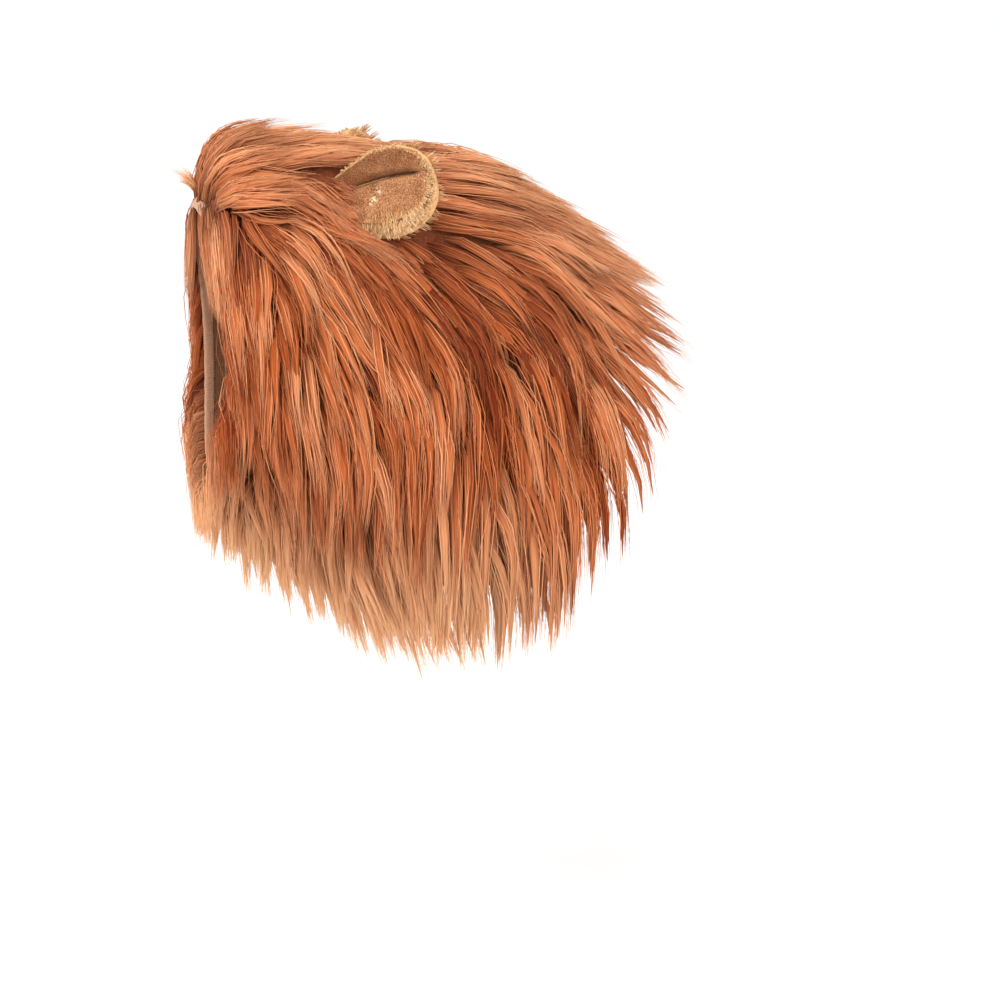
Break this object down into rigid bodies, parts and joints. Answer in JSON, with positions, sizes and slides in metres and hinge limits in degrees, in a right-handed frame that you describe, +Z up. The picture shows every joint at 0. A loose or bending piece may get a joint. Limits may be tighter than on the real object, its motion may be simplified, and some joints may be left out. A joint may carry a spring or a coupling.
{
  "type": "pet lion mane wig",
  "caption": "Pull-on hood for a large dog, covered in long russet faux fur that falls back and down past its hems, with plush lion ears sewn to the crown.",
  "frame": {"origin": "the spot on the inner face of the crown, between the ears, where the hood sits on the head", "axes": "-Y out of the face opening, +Y towards the shoulders, +X towards the wearer's left, +Z up"},
  "size_m": [0.273, 0.4008, 0.4583],
  "materials": {
    "backing": "matte",
    "hem": "matte",
    "fur": "satin",
    "velour": "matte",
    "plush": "matte"
  },
  "bodies": {
    "root": {"crown_panel": "backing", "left_side_panel": "backing", "right_side_panel": "backing", "face_hem": "hem", "neck_hem": "hem", "crown_fur": "fur", "left_mane_fur": "fur", "right_mane_fur": "fur", "left_ear_front": "velour", "right_ear_front": "velour", "left_ear_back": "plush", "right_ear_back": "plush"}
  },
  "joints": []
}
